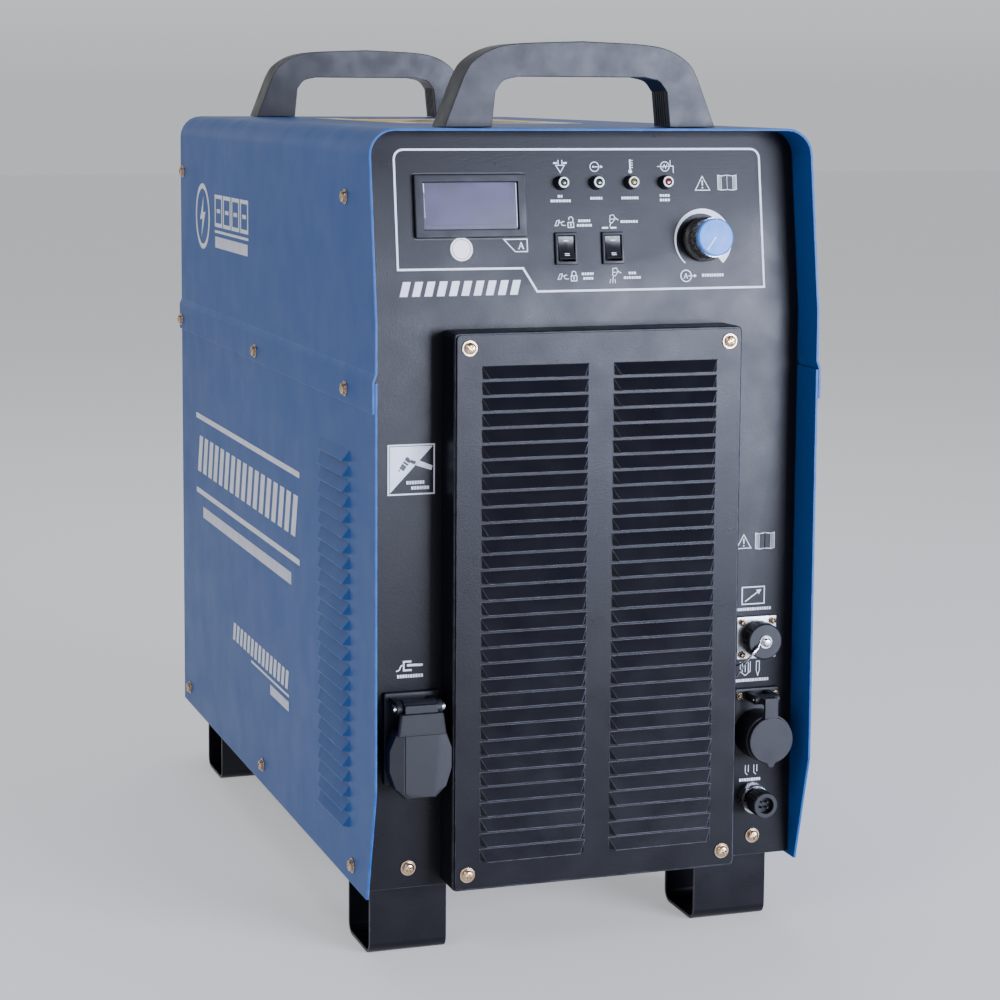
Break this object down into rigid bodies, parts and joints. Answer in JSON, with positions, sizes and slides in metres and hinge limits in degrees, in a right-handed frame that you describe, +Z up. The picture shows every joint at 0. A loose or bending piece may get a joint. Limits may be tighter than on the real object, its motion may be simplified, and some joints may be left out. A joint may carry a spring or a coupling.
{
  "type": "plasma cutter power unit",
  "caption": "Boxy welding-type power unit in blue sheet metal with a black louvred front, leaning control panel, capped sockets and bow handles on top.",
  "frame": {"origin": "centre of the bounding box's footprint, on the ground under the feet", "axes": "+Z up, the control panel faces -Y, +X to the right of someone facing the control panel"},
  "size_m": [0.308, 0.61, 0.5911],
  "materials": {
    "blue_paint": "satin powder coat",
    "black_paint": "fine-textured powder coat",
    "black_plastic": "moulded, lightly textured",
    "gloss_black": "smooth",
    "tinted_window": "smooth, dark tint",
    "knob_blue": "polished",
    "steel": "bright plated",
    "aluminium": "satin",
    "brass": "machined",
    "copper_winding": "enamelled copper winding",
    "core_steel": "laminated steel",
    "circuit_board": "solder resist",
    "lens_green": "tinted lens",
    "lens_yellow": "tinted lens",
    "lens_red": "tinted lens"
  },
  "bodies": {
    "casing": {"air_inlet": "brass", "arc_start_unit": "core_steel", "base_plate": "black_paint", "breaker_body": "black_plastic", "cable_gland": "black_plastic", "capacitor_bank": "circuit_board", "chassis_shelf": "aluminium", "control_board": "circuit_board", "control_flange": "aluminium", "control_lanyard": "steel", "display_bezel": "black_plastic", "display_window": "tinted_window", "earth_stud": "brass", "fan_frame": "black_plastic", "fan_guard": "steel", "foot_front_left": "black_paint", "foot_front_right": "black_paint", "foot_rear_left": "black_paint", "foot_rear_right": "black_paint", "front_panel": "black_paint", "handle_front": "black_plastic", "handle_rear": "black_plastic", "heat_sink": "aluminium", "led_holder_1": "black_plastic", "led_holder_2": "black_plastic", "led_holder_3": "black_plastic", "led_holder_4": "black_plastic", "led_lens_1": "lens_green", "led_lens_2": "lens_green", "led_lens_3": "lens_yellow", "led_lens_4": "lens_red", "main_transformer": "core_steel", "output_choke": "copper_winding", "output_hinge_pin": "steel", "output_socket": "black_plastic", "pilot_nut": "steel", "pilot_socket": "black_plastic", "potentiometer": "aluminium", "power_module": "black_plastic", "rear_panel": "black_paint", "side_panel_left": "blue_paint", "side_panel_right": "blue_paint", "solenoid_valve": "brass", "switch_bezel_1": "black_plastic", "switch_bezel_2": "black_plastic", "top_cover": "blue_paint", "vent_frame": "black_paint", "vent_grille": "black_paint", "work_hinge_pin": "steel", "work_socket": "black_plastic"},
    "knob": {"current_knob": "black_plastic", "knob_cap": "knob_blue"},
    "rocker_1": {"switch_rocker_1": "gloss_black"},
    "rocker_2": {"switch_rocker_2": "gloss_black"},
    "work_flap": {"work_cover": "black_plastic"},
    "output_flap": {"output_cap": "black_plastic"},
    "dust_cap": {"control_dust_cap": "black_plastic", "control_cap_screw": "steel"},
    "breaker_lever": {"breaker_toggle": "gloss_black"},
    "fan_wheel": {"fan_rotor": "black_plastic"}
  },
  "joints": [
    {"name": "current_adjust", "type": "hinge", "parent": "casing", "child": "knob", "pos_m": [0.0822, -0.26878, 0.4634], "axis": [0, 0.99, -0.1408], "range_deg": [0, 270]},
    {"name": "rocker_1_tilt", "type": "hinge", "parent": "casing", "child": "rocker_1", "pos_m": [-0.0135, -0.26841, 0.45886], "axis": [1, 0, 0], "range_deg": [0, 20]},
    {"name": "rocker_2_tilt", "type": "hinge", "parent": "casing", "child": "rocker_2", "pos_m": [0.0186, -0.26841, 0.45886], "axis": [1, 0, 0], "range_deg": [0, 20]},
    {"name": "work_flap_hinge", "type": "hinge", "parent": "casing", "child": "work_flap", "pos_m": [-0.1185, -0.29345, 0.172], "axis": [-1, 0, 0], "range_deg": [0, 105], "stiffness_Nm_per_rad": 0.02},
    {"name": "output_flap_hinge", "type": "hinge", "parent": "casing", "child": "output_flap", "pos_m": [0.1222, -0.29245, 0.16], "axis": [-1, 0, 0], "range_deg": [0, 105], "stiffness_Nm_per_rad": 0.01},
    {"name": "dust_cap_turn", "type": "hinge", "parent": "casing", "child": "dust_cap", "pos_m": [0.1215, -0.28545, 0.1985], "axis": [0, -1, 0], "range_deg": [0, 360]},
    {"name": "breaker_flip", "type": "hinge", "parent": "casing", "child": "breaker_lever", "pos_m": [0.08, 0.27205, 0.435], "axis": [1, 0, 0], "range_deg": [0, 44]},
    {"name": "fan_spin", "type": "hinge", "parent": "casing", "child": "fan_wheel", "pos_m": [0, 0.24075, 0.165], "axis": [0, 1, 0], "continuous": true}
  ]
}
